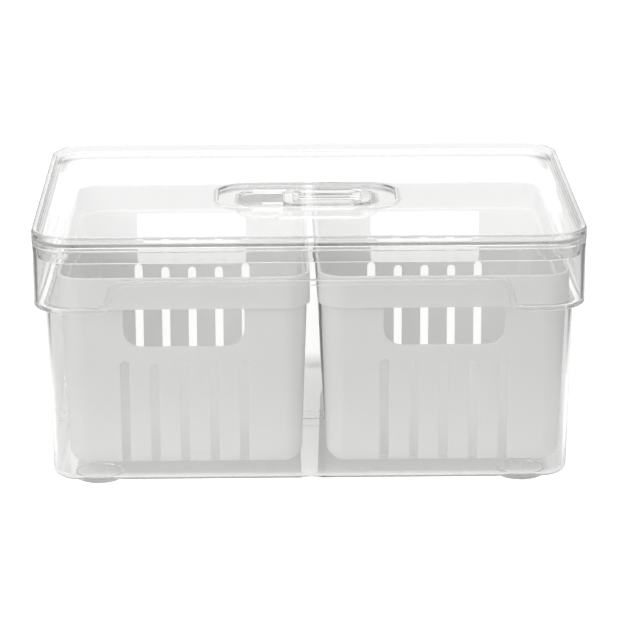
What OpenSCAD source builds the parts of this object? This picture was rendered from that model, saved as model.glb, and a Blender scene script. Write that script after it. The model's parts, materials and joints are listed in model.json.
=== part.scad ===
// Lidded clear bin for a fridge shelf: two white draining baskets stand side by side in it,
// and a slider in the lid opens and shuts a vent. Millimetres, +Z up, the feet stand on z = 0.
// The long side runs along X, and the front faces -Y.

/* [Lid] */
// Outer width of the lid
lid_w = 320; // [300:1:350]
// Outer depth of the lid
lid_d = 242; // [222:1:270]
// Corner radius of the lid, seen from above
lid_r = 25; // [22:0.5:32]
// Height of the lid's side face
lid_h = 8.1; // [6.8:0.1:10]
// Radius of the lid's upper outer edge
lid_edge_r = 1.4; // [0.6:0.1:2]
// Width of the raised lip round the top
lip_w = 1.9; // [1.4:0.1:3]
// Height of the lip above the flat panel
lip_h = 4.5; // [3:0.1:4.6]
// Thickness of the flat panel
panel_t = 2; // [1.6:0.1:2.4]
// How far the inner skirt reaches down into the bin
plug_h = 7.9; // [5:0.1:12]
// Thickness of the skirt at its top
plug_t = 2.4; // [1.8:0.1:3]
// How much the skirt thins on each face towards its lower edge
plug_taper = 0.5; // [0.1:0.1:0.7]
// Gap between the skirt and the bin's wall
plug_gap = 0.6; // [0.4:0.1:1]

/* [Vent] */
// Length of the shallow recess round the vent
recess_l = 107.5; // [100:0.5:120]
// Width of the recess
recess_w = 59; // [54:0.5:70]
// Corner radius of the recess
recess_r = 18; // [10:0.5:24]
// Depth of the recess below the panel
recess_depth = 2.2; // [1:0.1:2.6]
// Length of the vent well, inside
well_l = 82; // [80:0.5:90]
// Width of the vent well, inside
well_w = 39.4; // [36:0.2:44]
// Corner radius of the vent well, inside
well_r = 13; // [11:0.5:15]
// Depth of the vent well from the recess to its underside
well_depth = 10.2; // [9.6:0.1:12]
// Thickness of the well's wall
well_wall = 2; // [1.4:0.1:2.6]
// Thickness of the well's floor
well_floor_t = 1.6; // [1.2:0.1:2]
// Rounding of the well's lower outer edge
well_edge_r = 3; // [1:0.1:4]
// Width of the bevel round the well's mouth
mouth_bevel = 1.2; // [0.4:0.1:2]
// How far the slider's two rails stand out of the well's walls
rail_w = 1; // [0.6:0.1:1.6]
// Depth of the rails' top below the recess
rail_drop = 3.9; // [3:0.1:4.5]

/* [Slider] */
// Length of the slider
slider_l = 54; // [48:0.5:56]
// Gap between the slider and the well's wall
slider_gap = 0.3; // [0.2:0.05:0.6]
// Gap left at the end of the well when the vent is open
slider_stop = 1.7; // [1:0.1:3]
// How far the slider travels to shut the vent
slider_travel = 22; // [16:0.5:22]
// Corner radius of the slider's straight end
slider_end_r = 9; // [8:0.5:10]
// How far the slider stands above the recess
slider_proud = 0.8; // [0.2:0.1:1.2]
// Thickness of the solid block at each end of the slider
slider_block = 6.2; // [5:0.1:8]
// Thickness of the slider's long walls at the top
slider_wall = 1.1; // [0.9:0.1:1.6]
// Depth of the slider's finger dish
dish_depth = 5.4; // [4:0.1:6]
// Thickness under the finger dish
dish_floor_t = 1.2; // [0.8:0.1:1.4]
// How much the dish narrows on each side towards its floor
dish_taper = 1.1; // [0.8:0.1:2]
// How far the shut slider reaches past each end of the vent hole
vent_cover = 2; // [1:0.5:4]
// How far the vent hole stays clear of the slider's long sides
vent_side = 5; // [2:0.5:8]
// Corner radius of the vent hole
vent_r = 6; // [2:0.5:7]

/* [Bin] */
// Height of the bin from its feet to its rim
bin_h = 143.4; // [125:0.2:175]
// Thickness of the bin's walls
bin_wall = 2; // [1.6:0.1:2.4]
// Thickness of the bin's floor
floor_t = 2; // [1.6:0.1:3]
// How far the bin's upper wall stands back from the lid's side face
collar_inset = 0.4; // [0.3:0.1:1]
// Height of the band round the bin's rim
band_h = 4.2; // [2.4:0.1:5]
// How far that band stands out of the wall
band_out = 0.2; // [0.1:0.1:0.3]
// Height of the upper wall, from the ledge to the rim
collar_h = 37.4; // [32:0.2:46]
// How far the wall steps in at the ledge
ledge_w = 6.6; // [4:0.2:8]
// Thickness of the ledge
ledge_t = 2.6; // [2:0.1:3.2]
// How much higher the ledge runs over the finger grips
grip_rise = 16.2; // [14.5:0.1:20]
// Length of each finger grip, between the middles of its two ramps
grip_l = 228.2; // [160:0.2:236]
// Radius of the bend at the foot of a ramp, at the ends of a finger grip
ramp_foot_r = 6.6; // [5:0.1:7]
// Radius of the bend at the top of a ramp
ramp_top_r = 10.4; // [6:0.1:11]
// Steepness of a ramp between its two bends, in degrees
ramp_angle = 80; // [70:1:82]
// Thickness of a ramp, measured along the bin
ramp_wall = 3.2; // [2.4:0.1:4]
// How much the lower wall slopes in on each side towards the floor
bin_draft = 2.5; // [0.5:0.1:3]
// Corner radius of the lower wall, seen from above
body_r = 19; // [18.5:0.5:24]
// Rounding where the wall meets the floor, outside
bottom_r = 5; // [3.5:0.5:7]
// Height of the feet
foot_h = 2.4; // [1.5:0.1:4]
// Diameter of the feet
foot_d = 28; // [14:0.5:30]
// Distance from the lower wall's front and back in to the feet's edges
foot_edge = 3.6; // [3.4:0.1:12]
// Distance from the lower wall's sides in to the feet's edges
foot_side = 12.8; // [10:0.2:40]
// Height of the rib across the floor
rib_h = 4.7; // [2:0.1:6]
// Thickness of the rib
rib_t = 2.2; // [1.6:0.1:3]

/* [Baskets] */
// Gap between the two baskets
basket_gap = 4.5; // [2:0.1:12]
// Sideways play that the pair of baskets has in the bin
basket_play = 5.9; // [5.6:0.1:12]
// How far the pair stands off centre towards +X
basket_shift = 2.4; // [-2.4:0.1:2.4]
// Gap between a basket and the bin at the front and at the back
basket_clear = 0.4; // [0.4:0.1:3]
// How far a basket's rim lies below the bin's rim
basket_below = 17.9; // [13:0.1:23]
// Height of the space under a basket's floor
leg_h = 6.2; // [5:0.1:10]
// Diameter of a basket's legs
leg_d = 9; // [6:0.5:12]
// Distance between the middles of the legs across the basket
leg_pitch_x = 88; // [70:1:100]
// Distance between the middles of the legs along the basket
leg_pitch_y = 152; // [120:1:160]
// Thickness of a basket's walls
basket_wall = 1.8; // [1.4:0.1:2.2]
// Height of the wider band round a basket's rim
rim_h = 18.7; // [12:0.1:22]
// How far that band stands out of the wall
rim_out = 1.8; // [1:0.1:2.2]
// Rounding of the rim's top edge
rim_edge_r = 0.6; // [0.2:0.1:0.8]
// How much a basket's wall slopes in on each side towards its floor
basket_draft = 3.4; // [0.5:0.1:4]
// How much tighter the corners of a basket's band are than the bin's, inside
corner_ease = 0.8; // [0.5:0.1:1.2]
// Rounding where a basket's wall meets its floor
basket_bottom_r = 10; // [5:0.5:10]
// Width of the hand opening in a basket's front and back
hand_w = 70; // [60:0.5:78]
// Height of the hand opening
hand_h = 23.3; // [18:0.1:26]
// Radius of the hand opening's lower corners
hand_r = 10.7; // [6:0.1:11]
// Number of slots in a basket's front and back
slot_n = 5; // [3:1:7]
// Distance between the middles of the slots
slot_pitch = 17.25; // [10:0.25:18]
// Width of the slots
slot_w = 5.2; // [3:0.1:6]
// Distance from the hand opening down to the middle slots
slot_below = 10.3; // [6:0.1:20]
// How much higher the two outermost slots reach
slot_outer_rise = 2; // [0:0.1:3]
// How far the slots run on under the basket
slot_wrap = 14; // [10:0.5:18]

/* [Hidden] */
e = 0.01;
corner_steps = 12;
edge_steps = 5;
ramp_steps = 7;
// How much tighter the two bends of a ramp are inside the bin
ramp_ease = 1.6;

// Levels, from the feet up
base_z = foot_h;
floor_z = base_z + floor_t;
rim_z = bin_h;
ledge_z = rim_z - collar_h;
grip_z = ledge_z + grip_rise;
lid_top = rim_z + lid_h;
panel_z = lid_top - lip_h;
recess_z = panel_z - recess_depth;
well_z = recess_z - well_depth;
well_floor_z = well_z + well_floor_t;
rail_z = recess_z - rail_drop;
slider_top = recess_z + slider_proud;
dish_z = slider_top - dish_depth;
basket_z = floor_z + leg_h;
basket_top = rim_z - basket_below;
basket_band_z = basket_top - rim_h;
hand_z = basket_band_z - hand_h;
slot_top = hand_z - slot_below;

// Sizes in plan
collar_w = lid_w - 2 * collar_inset;
collar_d = lid_d - 2 * collar_inset;
collar_r = lid_r - collar_inset;
body_w = collar_w - 2 * ledge_w;
body_d = collar_d - 2 * ledge_w;
plug_w = collar_w - 2 * (bin_wall + plug_gap);
plug_d = collar_d - 2 * (bin_wall + plug_gap);
plug_r = collar_r - bin_wall - plug_gap;
lip_in = lid_edge_r + lip_w;
foot_x = body_w / 2 - bin_draft - foot_side - foot_d / 2;
foot_y = body_d / 2 - bin_draft - foot_edge - foot_d / 2;
basket_w = (body_w - 2 * bin_wall - basket_gap - basket_play) / 2;
basket_d = body_d - 2 * (bin_wall + basket_clear);
basket_r = body_r - bin_wall - corner_ease;
basket_pitch = basket_w + basket_gap;
slider_right = well_l / 2 - slider_stop;
slider_left = slider_right - slider_l;
slider_w = well_w - 2 * slider_gap;
keel_w = slider_w - 2 * rail_w;
vent_l = slider_travel - 2 * vent_cover;
vent_w = keel_w - 2 * vent_side;
vent_x = slider_left - slider_travel / 2;

// Points of a rounded rectangle, one corner after the other
function outline(w, d, r) = [
    for (c = [[1, 1, 0], [-1, 1, 90], [-1, -1, 180], [1, -1, 270]], i = [0 : corner_steps])
        let (a = c[2] + 90 * i / corner_steps)
        [c[0] * (w / 2 - r) + r * cos(a), c[1] * (d / 2 - r) + r * sin(a)]
];

// Solid through a stack of rounded rectangles, each given as [z, width, depth, corner radius]
module loft(rings) {
    n = 4 * (corner_steps + 1);
    points = [for (g = rings, p = outline(g[1], g[2], g[3])) [p[0], p[1], g[0]]];
    sides = [
        for (k = [0 : len(rings) - 2], i = [0 : n - 1])
            let (j = (i + 1) % n)
            [k * n + i, (k + 1) * n + i, (k + 1) * n + j, k * n + j]
    ];
    bottom = [for (i = [0 : n - 1]) i];
    top = [for (i = [n - 1 : -1 : 0]) (len(rings) - 1) * n + i];
    polyhedron(points, concat([bottom], sides, [top]));
}

// Rings of a lower edge rounded by er, from the flat underside at z out to the full size
function round_foot(z, w, d, r, er) = [
    for (i = [0 : edge_steps])
        let (a = 90 * i / edge_steps, in = er * (1 - sin(a)))
        [z + er * (1 - cos(a)), w - 2 * in, d - 2 * in, r - in]
];

// Rings of an upper edge rounded by er, from the full size in to the flat top at z
function round_top(z, w, d, r, er) = [
    for (i = [0 : edge_steps])
        let (a = 90 * i / edge_steps, in = er * (1 - cos(a)))
        [z - er * (1 - sin(a)), w - 2 * in, d - 2 * in, r - in]
];

// Rounded rectangle with true arcs
module plate(w, d, r) {
    square([w - 2 * r, d], center = true);
    square([w, d - 2 * r], center = true);
    for (x = [-1, 1], y = [-1, 1])
        translate([x * (w / 2 - r), y * (d / 2 - r)]) circle(r, $fn = 64);
}

module prism(z0, z1, w, d, r) {
    translate([0, 0, z0]) linear_extrude(z1 - z0) plate(w, d, r);
}

// Space under the raised ledge of the finger grips: k = 0 is its outline outside, k = 1 the one inside
module grip_space(k) {
    foot_r = ramp_foot_r - k * ramp_ease;
    top_r = ramp_top_r - k * ramp_ease;
    low = ledge_z + k * ledge_t;
    half_run = (grip_rise - (foot_r + top_r) * (1 - cos(ramp_angle))) / tan(ramp_angle) / 2;
    bend_foot_x = grip_l / 2 + k * ramp_wall + half_run + foot_r * sin(ramp_angle);
    bend_top_x = grip_l / 2 + k * ramp_wall - half_run - top_r * sin(ramp_angle);
    turns = [for (i = [0 : ramp_steps]) ramp_angle * i / ramp_steps];
    foot_bend = [for (a = turns) [bend_foot_x - foot_r * sin(a), low + foot_r * (1 - cos(a))]];
    top_bend = [
        for (i = [ramp_steps : -1 : 0])
            [bend_top_x + top_r * sin(turns[i]), low + grip_rise - top_r * (1 - cos(turns[i]))]
    ];
    right = concat([[bend_foot_x, ledge_z - grip_rise]], foot_bend, top_bend);
    left = [for (i = [len(right) - 1 : -1 : 0]) [-right[i][0], right[i][1]]];
    rotate([90, 0, 0])
        linear_extrude(2 * lid_d, center = true)
            polygon(concat(right, left));
}

// Lower, narrower wall, grown inward by t and closed at z0 and z1
module bin_body(t, z0, z1) {
    bottom_w = body_w - 2 * (bin_draft + t);
    bottom_d = body_d - 2 * (bin_draft + t);
    slope = bin_draft / (ledge_z - base_z);
    top_in = -slope * (z1 - ledge_z);
    loft(concat(
        round_foot(z0, bottom_w, bottom_d, body_r - bin_draft - t, bottom_r - t),
        [[z1, body_w - 2 * (t + top_in), body_d - 2 * (t + top_in), body_r - t - top_in]]
    ));
}

module bin() {
    color([0.90, 0.93, 0.94, 0.35]) {
        difference() {
            union() {
                bin_body(0, base_z, grip_z + ledge_t);
                difference() {
                    prism(ledge_z, rim_z, collar_w, collar_d, collar_r);
                    grip_space(0);
                }
                prism(rim_z - band_h, rim_z, collar_w + 2 * band_out, collar_d + 2 * band_out, collar_r + band_out);
                for (x = [-1, 1], y = [-1, 1])
                    translate([x * foot_x, y * foot_y, 0])
                        cylinder(h = base_z + floor_t / 2, d = foot_d, $fn = 96);
            }
            bin_body(bin_wall, floor_z, grip_z + 2 * ledge_t);
            difference() {
                prism(ledge_z + ledge_t, rim_z + 1, collar_w - 2 * bin_wall, collar_d - 2 * bin_wall,
                    collar_r - bin_wall);
                grip_space(1);
            }
        }
        translate([0, 0, floor_z + (rib_h - e) / 2])
            cube([body_w - 2 * (bin_draft + bottom_r), rib_t, rib_h + e], center = true);
    }
}

// Basket skin moved inward by t, from z0 up to z1; the band steps out at step_z
module basket_skin(t, z0, z1, step_z, edge_r) {
    w = basket_w - 2 * (rim_out + t);
    d = basket_d - 2 * (rim_out + t);
    r = basket_r - rim_out - t;
    low = basket_draft;
    loft(concat(
        round_foot(z0, w - 2 * low, d - 2 * low, r - low, basket_bottom_r - t),
        [[step_z, w, d, r], [step_z, w + 2 * rim_out, d + 2 * rim_out, r + rim_out]],
        edge_r > 0
            ? round_top(z1, w + 2 * rim_out, d + 2 * rim_out, r + rim_out, edge_r)
            : [[z1, w + 2 * rim_out, d + 2 * rim_out, r + rim_out]]
    ));
}

// Hand opening, right under the band, through front and back
module hand_opening() {
    rotate([90, 0, 0])
        linear_extrude(basket_d + 2, center = true)
            translate([0, hand_z]) {
                translate([-hand_w / 2, hand_r]) square([hand_w, hand_h - hand_r]);
                translate([-hand_w / 2 + hand_r, 0]) square([hand_w - 2 * hand_r, hand_h]);
                for (x = [-1, 1])
                    translate([x * (hand_w / 2 - hand_r), hand_r]) circle(hand_r, $fn = 64);
            }
}

// One drain slot of the front and back walls, which runs on under the basket
module wall_slot(x, top) {
    foot = basket_z + basket_wall;
    translate([x, 0, 0]) {
        rotate([90, 0, 0])
            linear_extrude(basket_d + 2, center = true) {
                translate([-slot_w / 2, foot]) square([slot_w, top - slot_w / 2 - foot]);
                translate([0, top - slot_w / 2]) circle(d = slot_w, $fn = 32);
            }
        for (y = [-1, 1])
            translate([0, y * (basket_d / 2 - slot_wrap + (slot_wrap + 2) / 2), basket_z])
                cube([slot_w, slot_wrap + 2, 2 * basket_wall + e], center = true);
    }
}

module basket() {
    difference() {
        union() {
            basket_skin(0, basket_z, basket_top, basket_band_z, rim_edge_r);
            for (x = [-1, 1], y = [-1, 1])
                translate([x * leg_pitch_x / 2, y * leg_pitch_y / 2, floor_z])
                    cylinder(h = leg_h + basket_wall / 2, d = leg_d, $fn = 48);
        }
        basket_skin(basket_wall, basket_z + basket_wall, basket_top + 1, basket_band_z + basket_wall, 0);
        hand_opening();
        for (i = [0 : slot_n - 1]) {
            outer = i == 0 || i == slot_n - 1;
            wall_slot((i - (slot_n - 1) / 2) * slot_pitch, slot_top + (outer ? slot_outer_rise : 0));
        }
    }
}

module basket_left() {
    color([0.93, 0.93, 0.92]) translate([basket_shift - basket_pitch / 2, 0, 0]) basket();
}

module basket_right() {
    color([0.93, 0.93, 0.92]) translate([basket_shift + basket_pitch / 2, 0, 0]) basket();
}

// Outside of the vent well, which hangs under the panel
module well_outside() {
    w = well_l + 2 * well_wall;
    d = well_w + 2 * well_wall;
    r = well_r + well_wall;
    loft(concat(round_foot(well_z, w, d, r, well_edge_r), [[panel_z - panel_t / 2, w, d, r]]));
}

// Two rails along the well, which carry the slider
module rails() {
    long = well_l - 2 * (well_r + rail_w);
    for (y = [-1, 1])
        translate([0, y * (well_w - rail_w + e) / 2, (well_floor_z + rail_z - e) / 2])
            cube([long, rail_w + e, rail_z - well_floor_z + e], center = true);
}

module lid() {
    color([0.90, 0.93, 0.94, 0.35]) {
        difference() {
            union() {
                loft(concat([[rim_z, lid_w, lid_d, lid_r]], round_top(lid_top, lid_w, lid_d, lid_r, lid_edge_r)));
                loft([
                    [rim_z - plug_h, plug_w - 2 * plug_taper, plug_d - 2 * plug_taper, plug_r - plug_taper],
                    [rim_z + lid_h / 2, plug_w, plug_d, plug_r]
                ]);
            }
            prism(panel_z, lid_top + 1, lid_w - 2 * lip_in, lid_d - 2 * lip_in, lid_r - lip_in);
            difference() {
                hollow_w = plug_w - 2 * plug_t;
                hollow_d = plug_d - 2 * plug_t;
                hollow_r = plug_r - plug_t;
                low = plug_taper * (1 + 1 / plug_h);
                loft([
                    [rim_z - plug_h - 1, hollow_w + 2 * low, hollow_d + 2 * low, hollow_r + low],
                    [panel_z - panel_t, hollow_w, hollow_d, hollow_r]
                ]);
                well_outside();
                prism(recess_z - panel_t, panel_z, recess_l + 2 * panel_t, recess_w + 2 * panel_t,
                    recess_r + panel_t);
            }
            prism(recess_z, panel_z + 1, recess_l, recess_w, recess_r);
            difference() {
                loft([
                    [well_floor_z, well_l, well_w, well_r],
                    [recess_z - mouth_bevel / 2, well_l, well_w, well_r],
                    [recess_z + e, well_l + 2 * mouth_bevel, well_w + 2 * mouth_bevel, well_r + mouth_bevel]
                ]);
                rails();
            }
            translate([vent_x, 0, 0]) prism(well_z - 1, well_floor_z + 1, vent_l, vent_w, vent_r);
        }
    }
}

// Slider seen from above: one end follows the well, the other is nearly straight
module slider_plan(shrink) {
    w = slider_w - 2 * shrink;
    big = well_r - slider_gap - shrink;
    small = slider_end_r - shrink;
    left = slider_left + shrink;
    right = slider_right - shrink;
    translate([left + small, -w / 2]) square([right - big - left - small, w]);
    translate([left, small - w / 2]) square([right - left - big, w - 2 * small]);
    translate([right - big - e, big - w / 2]) square([big + e, w - 2 * big]);
    for (y = [-1, 1]) {
        translate([left + small, y * (w / 2 - small)]) circle(small, $fn = 64);
        translate([right - big, y * (w / 2 - big)]) circle(big, $fn = 64);
    }
}

module vent_slider() {
    dish_l = slider_l - 2 * slider_block;
    dish_w = slider_w - 2 * slider_wall;
    dish_r = slider_end_r - slider_wall;
    color([0.90, 0.93, 0.94, 0.45])
        difference() {
            union() {
                translate([0, 0, rail_z]) linear_extrude(slider_top - rail_z) slider_plan(0);
                translate([0, 0, dish_z - dish_floor_t])
                    linear_extrude(rail_z + e - dish_z + dish_floor_t) slider_plan(rail_w);
            }
            translate([(slider_left + slider_right) / 2, 0, 0])
                loft([
                    [dish_z, dish_l - 2 * dish_taper, dish_w - 2 * dish_taper, dish_r - dish_taper / 2],
                    [slider_top + e, dish_l, dish_w, dish_r]
                ]);
        }
}

bin();
basket_left();
basket_right();
lid();
vent_slider();
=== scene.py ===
"""Looks of a lidded clear bin with two white draining baskets and a vent slider in its lid.

Lengths are in millimetres up to MM, where meshes go over to metres. The front faces -Y.
Every moulding is one closed skin through rounded rectangles, with a true fillet at each corner of
its section, and holes, feet, ribs and slots are then cut out of it or joined to it.
"""
import json
import math

import bmesh
import bpy
from mathutils import Euler, Matrix, Vector

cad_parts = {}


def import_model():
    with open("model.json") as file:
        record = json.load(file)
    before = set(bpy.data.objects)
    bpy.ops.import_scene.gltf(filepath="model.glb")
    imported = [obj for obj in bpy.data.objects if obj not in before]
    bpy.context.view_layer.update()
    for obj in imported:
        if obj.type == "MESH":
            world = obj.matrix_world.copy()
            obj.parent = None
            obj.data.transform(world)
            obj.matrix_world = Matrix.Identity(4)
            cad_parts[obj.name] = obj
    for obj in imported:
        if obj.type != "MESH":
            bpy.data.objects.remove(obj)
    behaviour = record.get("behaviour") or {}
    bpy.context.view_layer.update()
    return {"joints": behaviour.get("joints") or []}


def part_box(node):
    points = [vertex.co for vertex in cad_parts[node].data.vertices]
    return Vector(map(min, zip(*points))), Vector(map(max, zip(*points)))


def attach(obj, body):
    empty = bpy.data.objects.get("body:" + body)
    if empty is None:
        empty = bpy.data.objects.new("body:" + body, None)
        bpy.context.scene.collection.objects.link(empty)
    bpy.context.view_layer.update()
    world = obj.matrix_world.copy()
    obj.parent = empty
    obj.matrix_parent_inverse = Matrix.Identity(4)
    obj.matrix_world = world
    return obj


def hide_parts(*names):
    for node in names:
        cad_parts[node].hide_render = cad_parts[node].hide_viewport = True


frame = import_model()

MM = 0.001


def node_size(node):
    """Lowest corner and size of a CAD node, in millimetres."""
    low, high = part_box(node)
    return low / MM, (high - low) / MM


def travel(joint_name):
    """Length of a slide joint's range, in millimetres."""
    low, high = next(joint["range_m"] for joint in frame["joints"] if joint["name"] == joint_name)
    return (high - low) / MM


lid_low, lid_size = node_size("lid")
slider_low, slider_size = node_size("vent_slider")

# Gap that keeps two clear faces from lying in one another
FACE_GAP = 0.06
# How far a cut or a joined body goes past a wall's face, and how deep a joined body goes into a floor
CUT_PAST = 1.0
SINK = 0.5

# Small fillets of the mouldings, from crisp to round
STEP_R = 0.2
CRISP_R = 0.3
FINE_R = 0.4
EDGE_R = 0.5
TIP_R = 0.6
SOFT_R = 0.8
ROUND_R = 1.0
# A section's flat end starts this far inside its last corner, or this far past a large last fillet
END_IN = 4.0
END_PAST = 0.6

# Lid: flat panel inside a raised lip, over a plug that goes into the bin. Three numbers are
# (width, depth, corner radius).
LID = (lid_size.x, lid_size.y, 25.0)
LID_TOP = lid_low.z + lid_size.z
LID_H = 8.1
LIP_IN = 3.3
LIP_H = 4.5
LID_EDGE_R = 1.4
PANEL_T = 2.0
PLUG_T = 2.4
PLUG_H = 7.9
PLUG_GAP = 0.6
PLUG_TAPER = 0.5
RIM_Z = LID_TOP - LID_H
PLUG_FOOT = RIM_Z - PLUG_H
PANEL_Z = LID_TOP - LIP_H

# Vent: a shallow recess round a well, whose rails carry the slider. The slider's ends are solid beside
# its dish, and when it is shut it covers the hole and a bit more at either end.
RECESS = (107.5, 59.0, 18.0)
RECESS_H = 2.2
RECESS_Z = PANEL_Z - RECESS_H
WELL = (82.0, 39.4, 13.0)
WELL_H = 10.2
WELL_WALL = 2.0
WELL_R = 3.0
WELL_FLOOR_T = 1.6
WELL_Z = RECESS_Z - WELL_H
WELL_FLOOR_Z = WELL_Z + WELL_FLOOR_T
MOUTH_BEVEL = 1.2
RAIL_W = 1.0
RAIL_DROP = 3.9
RAIL_Z = RECESS_Z - RAIL_DROP
SLIDER_GAP = 0.3
SLIDER_R = (9.0, WELL[2] - SLIDER_GAP)
SLIDER_BLOCK = 6.2
SLIDER_WALL = 1.1
SLIDER_TRAVEL = travel("vent_slide")
DISH_DEPTH = 5.4
DISH_TAPER = 1.1
DISH_EASE = 0.5
DISH_R = 1.2
VENT_COVER = 2.0
VENT_SIDE = 5.0
VENT_R = 6.0

# Bin: collar under the lid's edge, ledge, drafted body and feet. The ledge rises over the finger grips by
# ramps, whose bends are tighter on the inside.
COLLAR_INSET = 0.4
COLLAR_H = 37.4
COLLAR_R = 1.5
BIN_WALL = 2.0
BAND_H = 4.2
BAND_OUT = 0.2
BAND_R = 2.0
RIM_BEVEL = (0.6, 0.5)
LEDGE_W = 6.6
LEDGE_T = 2.6
LEDGE_R = 1.2
LEDGE_Z = RIM_Z - COLLAR_H
GRIP_RISE = 16.2
GRIP_L = 228.2
RAMP_FOOT_R = 6.6
RAMP_TOP_R = 10.4
RAMP_EASE = 1.6
RAMP_ANGLE = math.radians(80.0)
RAMP_WALL = 3.2
RAMP_STEPS = 9
BIN_DRAFT = 2.5
BODY_R = 19.0
BOTTOM_R = 5.0
FOOT_D = 28.0
FOOT_H = 2.4
FOOT_EDGE = 3.6
FOOT_SIDE = 12.8
FLOOR_T = 2.0
RIB_H = 4.7
RIB_T = 2.2

# Baskets: rim band, drafted wall on legs, hand openings, and slots that go a little way under the floor
BASKET_WALL = 1.8
BASKET_DRAFT = 3.4
BASKET_GAP = 0.8
BASKET_R = BODY_R - BIN_WALL - BASKET_GAP
BASKET_BOTTOM_R = 10.0
BASKET_END_IN = BASKET_BOTTOM_R + END_PAST
BASKET_RIM_H = 18.7
BASKET_RIM_OUT = 1.8
LEG_H = 6.2
LEG_D = 9.0
LEG_PITCH = (88.0, 152.0)
HAND_W = 70.0
HAND_H = 23.3
HAND_R = 10.7
SLOT_N = 5
SLOT_PITCH = 17.25
SLOT_W = 5.2
SLOT_BELOW = 10.3
SLOT_OUTER_RISE = 2.0
SLOT_WRAP = 14.0

# Smoothness of the skins
CORNER_STEPS = 16
FILLET_STEP = 15.0
ROUND_STEPS = 32
POST_STEPS = 4
SHARP_DEG = 32.0


def inset(shape, by):
    """A rounded rectangle (width, depth, corner radius) moved inward by a distance."""
    return (shape[0] - 2 * by, shape[1] - 2 * by, *(r - by for r in shape[2:]))


def fillet(corner, before, after):
    """Rings that round one corner of a section: (shape, z) each."""
    shape, z, radius = corner[:3]
    if not radius:
        return [(shape, z)]
    here = Vector((-shape[0] / 2, z))
    to_before = (Vector((-before[0][0] / 2, before[1])) - here).normalized()
    to_after = (Vector((-after[0][0] / 2, after[1])) - here).normalized()
    half = to_before.angle(to_after) / 2
    centre = (to_before + to_after).normalized() * radius / math.sin(half)
    start = to_before * radius / math.tan(half) - centre
    turn = math.pi - 2 * half
    side = math.copysign(1.0, to_before.x * to_after.y - to_before.y * to_after.x)
    steps = max(2, math.ceil(math.degrees(turn) / FILLET_STEP))
    rings = []
    for i in range(steps + 1):
        spin = Matrix.Rotation(-side * turn * i / steps, 2)
        off = centre + spin @ start
        rings.append((inset(shape, off.x), z + off.y))
    return rings


def section(corners):
    """All rings of a section whose corners are (shape, z, fillet radius, mark for place_at)."""
    rings = []
    for i, corner in enumerate(corners):
        first_or_last = i in (0, len(corners) - 1)
        mark = corner[3] if len(corner) > 3 else None
        if first_or_last:
            found = [(corner[0], corner[1])]
        else:
            found = fillet(corner, corners[i - 1], corners[i + 1])
        rings += [(shape, z, mark) for shape, z in found]
    return rings


def stations(extra=0):
    """Places round a rounded rectangle: (signs of the corner, angle, None), or (signs, None, number)
    for extra places on the long sides, counted from each corner towards the middle."""
    places = []
    for sx, sy, start in ((1, 1, 0), (-1, 1, 90), (-1, -1, 180), (1, -1, 270)):
        for i in range(CORNER_STEPS + 1):
            places.append((sx, sy, math.radians(start + 90 * i / CORNER_STEPS), None))
        if start in (0, 180):
            places += [(sx, sy, None, k) for k in range(extra)]
            places += [(-sx, sy, None, k) for k in reversed(range(extra))]
    return places


def place(station, shape, mark=None):
    """Point of a rounded rectangle at a corner's station, and its lift. Left and right corners may
    differ in radius."""
    sx, sy, angle, _ = station
    r = shape[2] if sx < 0 else shape[-1]
    x = sx * (shape[0] / 2 - r) + r * math.cos(angle)
    y = sy * (shape[1] / 2 - r) + r * math.sin(angle)
    return x, y, 0.0


def new_object(name, verts, faces):
    mesh = bpy.data.meshes.new(name)
    mesh.from_pydata([Vector(v) * MM for v in verts], [], faces)
    work = bmesh.new()
    work.from_mesh(mesh)
    bmesh.ops.recalc_face_normals(work, faces=work.faces)
    work.to_mesh(mesh)
    work.free()
    made = bpy.data.objects.new(name, mesh)
    bpy.context.scene.collection.objects.link(made)
    return made


def ring_faces(n, rows):
    """Faces between rows of n points each, with both ends closed."""
    faces = [tuple(range(n)), tuple(range((rows - 1) * n, rows * n))]
    for k in range(rows - 1):
        for i in range(n):
            j = (i + 1) % n
            faces.append((k * n + i, k * n + j, (k + 1) * n + j, (k + 1) * n + i))
    return faces


def skin(name, corners, centre_x=0.0, extra=0, place_at=place):
    """Closed skin through the rings of a section, each set out by place_at."""
    rings = section(corners)
    places = stations(extra)
    verts = []
    for shape, z, mark in rings:
        for station in places:
            x, y, up = place_at(station, shape, mark)
            verts.append((x + centre_x, y, z + up))
    return new_object(name, verts, ring_faces(len(places), len(rings)))


def prism(outline, low, high, axis="Z"):
    """Vertices and faces of an outline pushed from low to high along Z or Y."""
    def at(p, t):
        return (p[0], p[1], t) if axis == "Z" else (p[0], t, p[1])

    n = len(outline)
    verts = [at(p, low) for p in outline] + [at(p, high) for p in outline]
    faces = [tuple(range(n)), tuple(range(n, 2 * n))]
    faces += [(i, (i + 1) % n, n + (i + 1) % n, n + i) for i in range(n)]
    return verts, faces


def revolve(section_points, x, y):
    """Closed body of revolution from (radius, z) points, on a vertical axis at x, y."""
    verts = []
    for radius, z in section_points:
        for i in range(ROUND_STEPS):
            a = 2 * math.pi * i / ROUND_STEPS
            verts.append((x + radius * math.cos(a), y + radius * math.sin(a), z))
    return verts, ring_faces(ROUND_STEPS, len(section_points))


def box(x0, x1, y0, y1, z0, z1):
    return prism([(x0, y0), (x1, y0), (x1, y1), (x0, y1)], z0, z1)


def post(x, y, diameter, foot, top, edge):
    """Short round foot or leg whose lower edge is rounded."""
    r = diameter / 2
    turns = [math.radians(90 * i / POST_STEPS) for i in range(POST_STEPS + 1)]
    rounded = [(r - edge + edge * math.sin(a), foot + edge * (1 - math.cos(a))) for a in turns]
    return revolve([*rounded, (r, top)], x, y)


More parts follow.
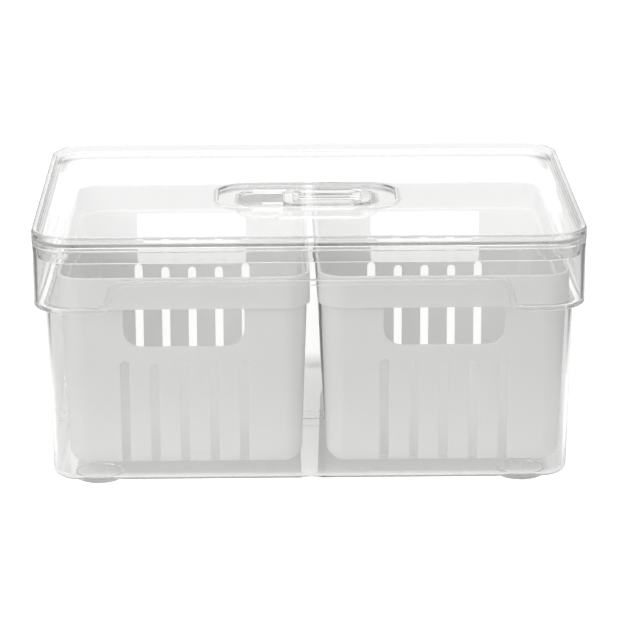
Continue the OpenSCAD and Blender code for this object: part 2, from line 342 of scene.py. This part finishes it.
def arc(cx, cy, r, start, end):
    steps = max(2, round(abs(end - start) / 360 * ROUND_STEPS))
    angles = [math.radians(start + (end - start) * i / steps) for i in range(steps + 1)]
    return [(cx + r * math.cos(a), cy + r * math.sin(a)) for a in angles]


def moved(outline, x, y=0.0):
    return [(px + x, py + y) for px, py in outline]


def merged(name, bodies):
    """Several separate closed bodies as one object."""
    verts, faces = [], []
    for body_verts, body_faces in bodies:
        start = len(verts)
        verts += body_verts
        faces += [tuple(start + i for i in f) for f in body_faces]
    return new_object(name, verts, faces)


def combine(target, bodies, operation):
    """Joins bodies to the target, or cuts them out of it."""
    tool = merged("tool", bodies)
    change = target.modifiers.new("change", "BOOLEAN")
    change.operation = operation
    change.solver = "EXACT"
    change.object = tool
    bpy.context.view_layer.update()
    graph = bpy.context.evaluated_depsgraph_get()
    mesh = bpy.data.meshes.new_from_object(target.evaluated_get(graph))
    target.modifiers.clear()
    target.data = mesh
    bpy.data.objects.remove(tool)


def finish_piece(piece, body, node, material):
    """Smooth shading with crisp corners, the material, and the CAD node that the piece stands for."""
    mesh = piece.data
    mesh.materials.clear()
    mesh.materials.append(material)
    mesh.shade_smooth()
    mesh.set_sharp_from_angle(angle=math.radians(SHARP_DEG))
    normals = piece.modifiers.new("normals", "WEIGHTED_NORMAL")
    normals.keep_sharp = True
    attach(piece, body)
    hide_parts(node)


def lid_piece(material):
    lip = inset(LID, LIP_IN)
    plug = inset(LID, COLLAR_INSET + BIN_WALL + PLUG_GAP)
    foot_t = PLUG_T - 2 * PLUG_TAPER
    slab = inset(RECESS, -PANEL_T)
    shell = inset(WELL, -WELL_WALL)
    corners = [
        (inset(WELL, END_IN), WELL_FLOOR_Z, 0),
        (WELL, WELL_FLOOR_Z, ROUND_R),
        (WELL, RECESS_Z - MOUTH_BEVEL / 2, CRISP_R),
        (inset(WELL, -MOUTH_BEVEL), RECESS_Z, CRISP_R),
        (RECESS, RECESS_Z, EDGE_R),
        (RECESS, PANEL_Z, EDGE_R),
        (lip, PANEL_Z, SOFT_R),
        (lip, LID_TOP, EDGE_R),
        (LID, LID_TOP, LID_EDGE_R),
        (LID, RIM_Z, SOFT_R),
        (plug, RIM_Z, CRISP_R),
        (inset(plug, PLUG_TAPER), PLUG_FOOT, TIP_R),
        (inset(plug, PLUG_TAPER + foot_t), PLUG_FOOT, TIP_R),
        (inset(plug, PLUG_T), PANEL_Z - PANEL_T, ROUND_R),
        (slab, PANEL_Z - PANEL_T, SOFT_R),
        (slab, RECESS_Z - PANEL_T, SOFT_R),
        (shell, RECESS_Z - PANEL_T, SOFT_R),
        (shell, WELL_Z, WELL_R),
        (inset(shell, 2 * WELL_R), WELL_Z, 0),
    ]
    lid = skin("clear_lid", corners)
    half = WELL[0] / 2 - WELL[2] - RAIL_W
    wall = WELL[1] / 2
    near, far = wall - RAIL_W, wall + CUT_PAST
    rails = [
        box(-half, half, y0, y1, WELL_FLOOR_Z - SINK, RAIL_Z)
        for y0, y1 in ((-far, -near), (near, far))
    ]
    combine(lid, rails, "UNION")
    vent_l = SLIDER_TRAVEL - 2 * VENT_COVER
    vent_w = slider_size.y - 2 * (RAIL_W + VENT_SIDE)
    vent_x = slider_low.x - SLIDER_TRAVEL / 2
    corners = [place(station, (vent_l, vent_w, VENT_R)) for station in stations()]
    hole = moved([(x, y) for x, y, _ in corners], vent_x)
    combine(lid, [prism(hole, WELL_Z - CUT_PAST, WELL_FLOOR_Z + CUT_PAST)], "DIFFERENCE")
    finish_piece(lid, "lid", "lid", material)


def slider_piece(material):
    top = slider_low.z + slider_size.z
    dish_z = top - DISH_DEPTH
    outer = (slider_size.x, slider_size.y, *SLIDER_R)
    dish_r = SLIDER_R[0] - SLIDER_WALL
    dish = (slider_size.x - 2 * SLIDER_BLOCK, slider_size.y - 2 * SLIDER_WALL, dish_r)
    dish_foot = (dish[0] - 2 * DISH_TAPER, dish[1] - 2 * DISH_TAPER, dish_r - DISH_EASE)
    keel = inset(outer, RAIL_W)
    corners = [
        (inset(dish_foot, END_IN), dish_z, 0),
        (dish_foot, dish_z, DISH_R),
        (dish, top, CRISP_R),
        (outer, top, EDGE_R),
        (outer, RAIL_Z + FACE_GAP, STEP_R),
        (keel, RAIL_Z + FACE_GAP, STEP_R),
        (keel, slider_low.z, FINE_R),
        (inset(keel, END_IN), slider_low.z, 0),
    ]
    centre = slider_low.x + slider_size.x / 2
    slider = skin("clear_slider", corners, centre_x=centre)
    finish_piece(slider, "vent_slider", "vent_slider", material)


def ramp(k):
    """Ramp at the end of a finger grip, from its foot up: (x, rise). k is 0 for the outside of the
    bin and 1 for the inside."""
    foot_r, top_r = RAMP_FOOT_R - k * RAMP_EASE, RAMP_TOP_R - k * RAMP_EASE
    straight = GRIP_RISE - (foot_r + top_r) * (1 - math.cos(RAMP_ANGLE))
    half_run = straight / math.tan(RAMP_ANGLE) / 2
    middle = GRIP_L / 2 + k * RAMP_WALL
    foot_x = middle + half_run + foot_r * math.sin(RAMP_ANGLE)
    top_x = middle - half_run - top_r * math.sin(RAMP_ANGLE)
    turns = [RAMP_ANGLE * i / RAMP_STEPS for i in range(RAMP_STEPS + 1)]
    foot = [(foot_x - foot_r * math.sin(a), foot_r * (1 - math.cos(a))) for a in turns]
    turns.reverse()
    top = [(top_x + top_r * math.sin(a), GRIP_RISE - top_r * (1 - math.cos(a))) for a in turns]
    return foot + top


RAMPS = ramp(0), ramp(1)


def bin_place(station, shape, mark):
    """Point of the bin's skin. The ledge rises over the finger grips, and the sloped wall below it
    then stands further out. A mark says which ramp, whether it lifts the point, and the slope."""
    sx, sy, angle, number = station
    if angle is not None:
        return place(station, shape)
    k, lifted, slope = mark
    x, rise = RAMPS[k][number]
    return sx * x, sy * (shape[1] / 2 + slope * rise), rise if lifted else 0.0


def bin_piece(material):
    collar = inset(LID, COLLAR_INSET)
    body_w, body_d = collar[0] - 2 * LEDGE_W, collar[1] - 2 * LEDGE_W
    body = (body_w, body_d, BODY_R)
    base = inset(body, BIN_DRAFT)
    band = inset(collar, -BAND_OUT)
    floor_z = FOOT_H + FLOOR_T
    rim = RIM_Z - FACE_GAP
    slope = BIN_DRAFT / (LEDGE_Z - FOOT_H)
    outside = (0, False, 0.0)
    inside = (1, False, 0.0)
    corners = [
        (inset(base, 2 * BOTTOM_R), FOOT_H, 0, outside),
        (base, FOOT_H, BOTTOM_R, outside),
        (body, LEDGE_Z, LEDGE_R, (0, True, slope)),
        (collar, LEDGE_Z, COLLAR_R, (0, True, 0.0)),
        (collar, RIM_Z - BAND_H, BAND_R, outside),
        (band, rim - RIM_BEVEL[1], EDGE_R, outside),
        (inset(band, RIM_BEVEL[0]), rim, CRISP_R, outside),
        (inset(collar, BIN_WALL), rim, EDGE_R, inside),
        (inset(collar, BIN_WALL), LEDGE_Z + LEDGE_T, ROUND_R, (1, True, 0.0)),
        (inset(body, BIN_WALL), LEDGE_Z + LEDGE_T, LEDGE_R, (1, True, slope)),
        (inset(base, BIN_WALL), floor_z, BOTTOM_R - BIN_WALL, inside),
        (inset(base, 2 * BOTTOM_R + BIN_WALL), floor_z, 0, inside),
    ]
    shell = skin("clear_bin", corners, extra=2 * (RAMP_STEPS + 1), place_at=bin_place)
    foot_x = base[0] / 2 - FOOT_SIDE - FOOT_D / 2
    foot_y = base[1] / 2 - FOOT_EDGE - FOOT_D / 2
    extras = [
        post(x * foot_x, y * foot_y, FOOT_D, 0.0, FOOT_H + FLOOR_T / 2, SOFT_R)
        for x in (-1, 1)
        for y in (-1, 1)
    ]
    rib_l = base[0] - 2 * BOTTOM_R
    extras.append(box(-rib_l / 2, rib_l / 2, -RIB_T / 2, RIB_T / 2, floor_z - SINK, floor_z + RIB_H))
    combine(shell, extras, "UNION")
    finish_piece(shell, "bin", "bin", material)


def hand_outline(foot):
    side = HAND_W / 2 - HAND_R
    low = arc(-side, foot + HAND_R, HAND_R, 180, 270) + arc(side, foot + HAND_R, HAND_R, 270, 360)
    return [(-HAND_W / 2, foot + HAND_H), *low, (HAND_W / 2, foot + HAND_H)]


def slot_outline(length, x, low):
    """Straight slot with round ends, from low upward."""
    r = SLOT_W / 2
    return moved(arc(0, length - r, r, 0, 180) + arc(0, r, r, 180, 360), x, low)


def basket_cuts(low, size, band_z):
    hand_z = band_z - HAND_H
    half = size.y / 2
    cuts = [prism(hand_outline(hand_z), -half - CUT_PAST, half + CUT_PAST, axis="Y")]
    for i in range(SLOT_N):
        x = (i - (SLOT_N - 1) / 2) * SLOT_PITCH
        outermost = i in (0, SLOT_N - 1)
        top = hand_z - SLOT_BELOW + (SLOT_OUTER_RISE if outermost else 0)
        foot = low + LEG_H - BASKET_WALL - SLOT_W
        outline = slot_outline(top - foot, x, foot)
        cuts.append(prism(outline, -half - CUT_PAST, SLOT_WRAP - half, axis="Y"))
        cuts.append(prism(outline, half - SLOT_WRAP, half + CUT_PAST, axis="Y"))
    return cuts


def basket_piece(node, material):
    low, size = node_size(node)
    centre = low.x + size.x / 2
    top = low.z + size.z
    floor = low.z + LEG_H
    band_z = top - BASKET_RIM_H
    rim = (size.x, size.y, BASKET_R)
    wall = inset(rim, BASKET_RIM_OUT)
    foot = inset(wall, BASKET_DRAFT)
    corners = [
        (inset(foot, BASKET_END_IN), floor, 0),
        (foot, floor, BASKET_BOTTOM_R),
        (wall, band_z, CRISP_R),
        (rim, band_z, FINE_R),
        (rim, top, TIP_R),
        (inset(rim, BASKET_WALL), top, TIP_R),
        (inset(rim, BASKET_WALL), band_z + BASKET_WALL, FINE_R),
        (inset(wall, BASKET_WALL), band_z + BASKET_WALL, CRISP_R),
        (inset(foot, BASKET_WALL), floor + BASKET_WALL, BASKET_BOTTOM_R - BASKET_WALL),
        (inset(foot, BASKET_END_IN), floor + BASKET_WALL, 0),
    ]
    basket = skin("white_" + node, corners)
    combine(basket, basket_cuts(low.z, size, band_z), "DIFFERENCE")
    leg_x, leg_y = LEG_PITCH[0] / 2, LEG_PITCH[1] / 2
    legs = [
        post(x * leg_x, y * leg_y, LEG_D, low.z + FACE_GAP, floor + BASKET_WALL / 2, TIP_R)
        for x in (-1, 1)
        for y in (-1, 1)
    ]
    combine(basket, legs, "UNION")
    basket.data.transform(Matrix.Translation((centre * MM, 0, 0)))
    finish_piece(basket, "bin", node, material)


def add(tree, kind, x=0, y=0, **values):
    """A node of the given kind with its inputs set by name, where _ stands for a space."""
    node = tree.nodes.new(kind)
    node.location = (x, y)
    for name, value in values.items():
        node.inputs[name.replace("_", " ")].default_value = value
    return node


def maths(tree, operation, *values):
    """Result of a Math node, whose values are sockets or numbers."""
    node = add(tree, "ShaderNodeMath")
    node.operation = operation
    for socket, value in zip(node.inputs, values):
        if isinstance(value, float):
            socket.default_value = value
        else:
            tree.links.new(value, socket)
    return node.outputs[0]


def mixed(tree, fac, first, second):
    """Result of a Mix Shader node."""
    node = add(tree, "ShaderNodeMixShader")
    for socket, value in zip(node.inputs, (fac, first, second)):
        tree.links.new(value, socket)
    return node.outputs[0]


def graded(tree, value, stops):
    """A level that follows stops of (value, level)."""
    node = add(tree, "ShaderNodeValToRGB")
    elements = node.color_ramp.elements
    node.color_ramp.interpolation = "EASE"
    while len(elements) < len(stops):
        elements.new(1.0)
    for element, (position, level) in zip(elements, stops):
        element.position = position
        element.color = (level, level, level, 1.0)
    tree.links.new(value, node.inputs[0])
    return node.outputs[0]


def empty_material(name):
    material = bpy.data.materials.new(name)
    material.use_nodes = True
    material.node_tree.nodes.clear()
    return material


# Clear styrene: the tint of its surface, its refraction, what its volume lets through, and the share of
# lamps' and bounced light that each surface lets pass
CLEAR_TINT = (0.992, 0.991, 0.988, 1.0)
CLEAR_IOR = 1.5
CLEAR_KEEPS = (0.05, 0.03, 0.0, 1.0)
CLEAR_DENSITY = 4.5
CLEAR_PASS = (0.98, 0.98, 0.98, 1.0)
# Least and most roughness of the polished pieces and of the slider, and how uneven the moulded skin is
CLEAR_ROUGH = (0.0, 0.03)
SATIN_ROUGH = (0.08, 0.13)
RIPPLE_SCALE = 14.0
RIPPLE = 0.02
RIPPLE_HEIGHT = 0.002
# Mirrorings after which a trapped ray leaves the plastic straight on
TRAPPED = 3.5


def clear_plastic(name, roughness):
    """Clear moulded plastic. Lamps and bounced light go straight through it, less what it keeps."""
    material = empty_material(name)
    tree = material.node_tree
    links = tree.links
    place_at = add(tree, "ShaderNodeTexCoord", -900, 0)
    ripple = add(tree, "ShaderNodeTexNoise", -700, 0, Scale=RIPPLE_SCALE, Detail=2.0)
    rough = add(tree, "ShaderNodeMapRange", -400, 150, To_Min=roughness[0], To_Max=roughness[1])
    bump = add(tree, "ShaderNodeBump", -400, -200, Strength=RIPPLE, Distance=RIPPLE_HEIGHT)
    glass = add(
        tree,
        "ShaderNodeBsdfPrincipled",
        -100,
        0,
        Base_Color=CLEAR_TINT,
        IOR=CLEAR_IOR,
        Transmission_Weight=1.0,
    )
    through = add(tree, "ShaderNodeBsdfTransparent", -100, 300, Color=CLEAR_PASS)
    path = add(tree, "ShaderNodeLightPath", -400, 500).outputs
    lit = maths(tree, "MAXIMUM", path["Is Shadow Ray"], path["Is Diffuse Ray"])
    trapped = maths(tree, "GREATER_THAN", path["Glossy Depth"], TRAPPED)
    straight = maths(tree, "MAXIMUM", lit, trapped)
    keeps = add(tree, "ShaderNodeVolumeAbsorption", 200, -50, Color=CLEAR_KEEPS, Density=CLEAR_DENSITY)
    out = add(tree, "ShaderNodeOutputMaterial", 400, 200)
    links.new(place_at.outputs["Object"], ripple.inputs["Vector"])
    links.new(ripple.outputs["Fac"], rough.inputs["Value"])
    links.new(ripple.outputs["Fac"], bump.inputs["Height"])
    links.new(rough.outputs["Result"], glass.inputs["Roughness"])
    links.new(bump.outputs["Normal"], glass.inputs["Normal"])
    links.new(mixed(tree, straight, glass.outputs[0], through.outputs[0]), out.inputs["Surface"])
    links.new(keeps.outputs[0], out.inputs["Volume"])
    return material


# White polypropylene: its two tones, least and most roughness, and its refraction
BASKET_WHITE = (0.87, 0.87, 0.865, 1.0)
BASKET_SHADE = (0.84, 0.84, 0.835, 1.0)
BASKET_ROUGH = (0.38, 0.52)
BASKET_IOR = 1.49
# Share of the light that goes into the plastic before it comes out again, and how deep it goes in metres
BASKET_SUBSURFACE = 0.55
BASKET_DEPTH = 0.006
CLOUD_SCALE = 22.0
GRAIN_SCALE = 1400.0
GRAIN = 0.25
GRAIN_HEIGHT = 0.00008
# Sockets of a Mix node that carry colours
MIX_COLOURS = (6, 7)
MIX_RESULT = 2


def white_plastic():
    """Satin white polypropylene with a fine spark-eroded grain and a faint unevenness of tone."""
    material = empty_material("white_basket")
    tree = material.node_tree
    links = tree.links
    place_at = add(tree, "ShaderNodeTexCoord", -1100, 0)
    grain = add(tree, "ShaderNodeTexNoise", -900, -250, Scale=GRAIN_SCALE, Detail=3.0)
    cloud = add(tree, "ShaderNodeTexNoise", -900, 200, Scale=CLOUD_SCALE, Detail=4.0)
    tone = add(tree, "ShaderNodeMix", -450, 200)
    tone.data_type = "RGBA"
    for socket, colour in zip(MIX_COLOURS, (BASKET_WHITE, BASKET_SHADE)):
        tone.inputs[socket].default_value = colour
    rough = add(tree, "ShaderNodeMapRange", -450, -50, To_Min=BASKET_ROUGH[0], To_Max=BASKET_ROUGH[1])
    bump = add(tree, "ShaderNodeBump", -450, -300, Strength=GRAIN, Distance=GRAIN_HEIGHT)
    body = add(
        tree,
        "ShaderNodeBsdfPrincipled",
        -100,
        0,
        IOR=BASKET_IOR,
        Subsurface_Weight=BASKET_SUBSURFACE,
        Subsurface_Scale=BASKET_DEPTH,
        Subsurface_Radius=(1.0, 1.0, 1.0),
    )
    out = add(tree, "ShaderNodeOutputMaterial", 250, 0)
    links.new(place_at.outputs["Object"], grain.inputs["Vector"])
    links.new(place_at.outputs["Object"], cloud.inputs["Vector"])
    links.new(cloud.outputs["Fac"], tone.inputs["Factor"])
    links.new(tone.outputs[MIX_RESULT], body.inputs["Base Color"])
    links.new(grain.outputs["Fac"], rough.inputs["Value"])
    links.new(rough.outputs["Result"], body.inputs["Roughness"])
    links.new(grain.outputs["Fac"], bump.inputs["Height"])
    links.new(bump.outputs["Normal"], body.inputs["Normal"])
    links.new(body.outputs[0], out.inputs["Surface"])
    return material


FLOOR_SIZE = 12.0
FLOOR_DROP = 0.0002
FLOOR_COLOUR = (0.70, 0.70, 0.70, 1.0)
# Light that the floor adds of its own, as the camera sees it and as everything else does
FLOOR_GLOW = (0.82, 0.31)
# Mirrored and bent rays see the floor turn white beside and behind the object, as (metres, share). That
# starts further out at the sides, by so many metres, and the white fades towards the back.
FLOOR_NEAR = ((0.125, 0.0), (0.165, 1.0))
FLOOR_WIDER = 0.038
FLOOR_WHITE = 1.12
FLOOR_FAR = ((0.32, 1.0), (0.50, 0.88))
# They see it dim further out to the sides and in front, where the front starts so many metres nearer
FLOOR_EDGE = ((0.24, 0.0), (0.42, 1.0))
FLOOR_FRONT = 0.10
FLOOR_DIM = 0.24
# A ray that has gone in and out of one clear wall has bounced fewer times than this
ONE_WALL = 2.5


def bent_ray(tree, path):
    """1 for a ray that was mirrored or went through something clear."""
    return maths(tree, "MAXIMUM", path["Is Glossy Ray"], path["Is Transmission Ray"])


def through_one(tree, path):
    """1 for a ray that has gone through one clear wall only."""
    nearer = maths(tree, "LESS_THAN", path["Ray Depth"], ONE_WALL)
    return maths(tree, "MULTIPLY", path["Is Transmission Ray"], nearer)


def outward(tree, coordinates, nearer=0.0):
    """How far out to either side, or to the front with nearer added to it, and the coordinates."""
    split = add(tree, "ShaderNodeSeparateXYZ")
    tree.links.new(coordinates, split.inputs[0])
    parts = split.outputs
    side = maths(tree, "ABSOLUTE", parts["X"])
    front = maths(tree, "SUBTRACT", nearer, parts["Y"])
    return maths(tree, "MAXIMUM", side, front), parts


def floor():
    half = FLOOR_SIZE / 2
    mesh = bpy.data.meshes.new("floor")
    z = -FLOOR_DROP
    corners = [(-half, -half, z), (half, -half, z), (half, half, z), (-half, half, z)]
    mesh.from_pydata(corners, [], [(0, 1, 2, 3)])
    plane = bpy.data.objects.new("floor", mesh)
    bpy.context.scene.collection.objects.link(plane)
    material = empty_material("floor")
    tree = material.node_tree
    matte = add(tree, "ShaderNodeBsdfDiffuse", Color=FLOOR_COLOUR).outputs[0]
    dim = add(tree, "ShaderNodeEmission", Strength=FLOOR_DIM).outputs[0]
    white = add(tree, "ShaderNodeEmission")
    path = add(tree, "ShaderNodeLightPath").outputs
    lit = []
    for strength in FLOOR_GLOW:
        both = add(tree, "ShaderNodeAddShader")
        tree.links.new(matte, both.inputs[0])
        tree.links.new(add(tree, "ShaderNodeEmission", Strength=strength).outputs[0], both.inputs[1])
        lit.append(both.outputs[0])
    out_by, parts = outward(tree, add(tree, "ShaderNodeTexCoord").outputs["Object"], FLOOR_FRONT)
    far = maths(tree, "MULTIPLY", graded(tree, parts["Y"], FLOOR_FAR), FLOOR_WHITE)
    tree.links.new(far, white.inputs["Strength"])
    bent = bent_ray(tree, path)
    side = maths(tree, "SUBTRACT", maths(tree, "ABSOLUTE", parts["X"]), FLOOR_WIDER)
    around = graded(tree, maths(tree, "MAXIMUM", side, parts["Y"]), FLOOR_NEAR)
    near = maths(tree, "MULTIPLY", around, bent)
    edge = maths(tree, "MULTIPLY", graded(tree, out_by, FLOOR_EDGE), bent)
    beyond = mixed(tree, through_one(tree, path), dim, lit[0])
    others = mixed(tree, edge, mixed(tree, near, lit[1], white.outputs[0]), beyond)
    out = add(tree, "ShaderNodeOutputMaterial")
    tree.links.new(mixed(tree, path["Is Camera Ray"], others, lit[0]), out.inputs["Surface"])
    mesh.materials.append(material)


# Strength of the surroundings as light, and as mirrored and bent rays see them
SKY_LIGHT = 0.46
SKY_WHITE = 1.62
# Share of the latter, by the ray's height and by its turn to either side or the front
SKY_HEIGHTS = ((0.45, 1.0), (0.75, 0.55))
SKY_TURNS = ((0.15, 1.0), (0.28, 0.30), (0.60, 0.35), (0.80, 0.60))


def world():
    """White surroundings. Mirrored and bent rays see them darker overhead, at the sides and in front."""
    sky = bpy.data.worlds.new("studio")
    bpy.context.scene.world = sky
    sky.use_nodes = True
    tree = sky.node_tree
    tree.nodes.clear()
    turn, parts = outward(tree, add(tree, "ShaderNodeTexCoord").outputs["Generated"])
    level = maths(tree, "MULTIPLY", graded(tree, parts["Z"], SKY_HEIGHTS), graded(tree, turn, SKY_TURNS))
    light = add(tree, "ShaderNodeBackground", Strength=SKY_LIGHT).outputs[0]
    plain = add(tree, "ShaderNodeBackground", Strength=1.0).outputs[0]
    around = add(tree, "ShaderNodeBackground")
    tree.links.new(maths(tree, "MULTIPLY", level, SKY_WHITE), around.inputs["Strength"])
    path = add(tree, "ShaderNodeLightPath").outputs
    others = mixed(tree, bent_ray(tree, path), light, around.outputs[0])
    seen = maths(tree, "MAXIMUM", path["Is Camera Ray"], through_one(tree, path))
    out = add(tree, "ShaderNodeOutputWorld")
    tree.links.new(mixed(tree, seen, others, plain), out.inputs["Surface"])


# Square lamps, in metres and watts, which all point at LAMP_TARGET: name, side, power, place
LAMPS = (
    ("overhead", 1.6, 12.5, (0.0, -0.30, 1.5)),
    ("left_front", 0.8, 6.2, (-0.95, -1.0, 1.0)),
)
LAMP_TARGET = Vector((0.0, 0.0, 0.07))


def lights():
    for name, side, power, location in LAMPS:
        data = bpy.data.lights.new(name, "AREA")
        data.shape = "SQUARE"
        data.size = side
        data.energy = power
        made = bpy.data.objects.new(name, data)
        made.location = location
        made.rotation_euler = (LAMP_TARGET - Vector(location)).to_track_quat("-Z", "Y").to_euler()
        bpy.context.scene.collection.objects.link(made)


# Camera fitted to the photograph, in metres and degrees
CAM_TARGET = Vector((0.002924, 0.0, 0.072523))
CAM_AZIMUTH = -0.928
CAM_ELEVATION = 15.962
CAM_ROLL = -0.194
CAM_DISTANCE = 1.8718
CAM_LENS = 176.17
CAM_CLIP = (0.05, 50.0)


def camera():
    data = bpy.data.cameras.new("camera")
    data.lens = CAM_LENS
    data.clip_start, data.clip_end = CAM_CLIP
    made = bpy.data.objects.new("camera", data)
    turn, rise = math.radians(CAM_AZIMUTH), math.radians(CAM_ELEVATION)
    back = Vector((math.sin(turn) * math.cos(rise), -math.cos(turn) * math.cos(rise), math.sin(rise)))
    made.location = CAM_TARGET + back * CAM_DISTANCE
    look = (-back).to_track_quat("-Z", "Y")
    made.rotation_mode = "QUATERNION"
    made.rotation_quaternion = look @ Euler((0, 0, math.radians(CAM_ROLL))).to_quaternion()
    bpy.context.scene.collection.objects.link(made)
    bpy.context.scene.camera = made


camera()
world()
lights()
floor()
clear = clear_plastic("clear_plastic", CLEAR_ROUGH)
satin = clear_plastic("satin_plastic", SATIN_ROUGH)
white = white_plastic()
bin_piece(clear)
lid_piece(clear)
slider_piece(satin)
basket_piece("basket_left", white)
basket_piece("basket_right", white)
bpy.context.scene.view_settings.view_transform = "Standard"
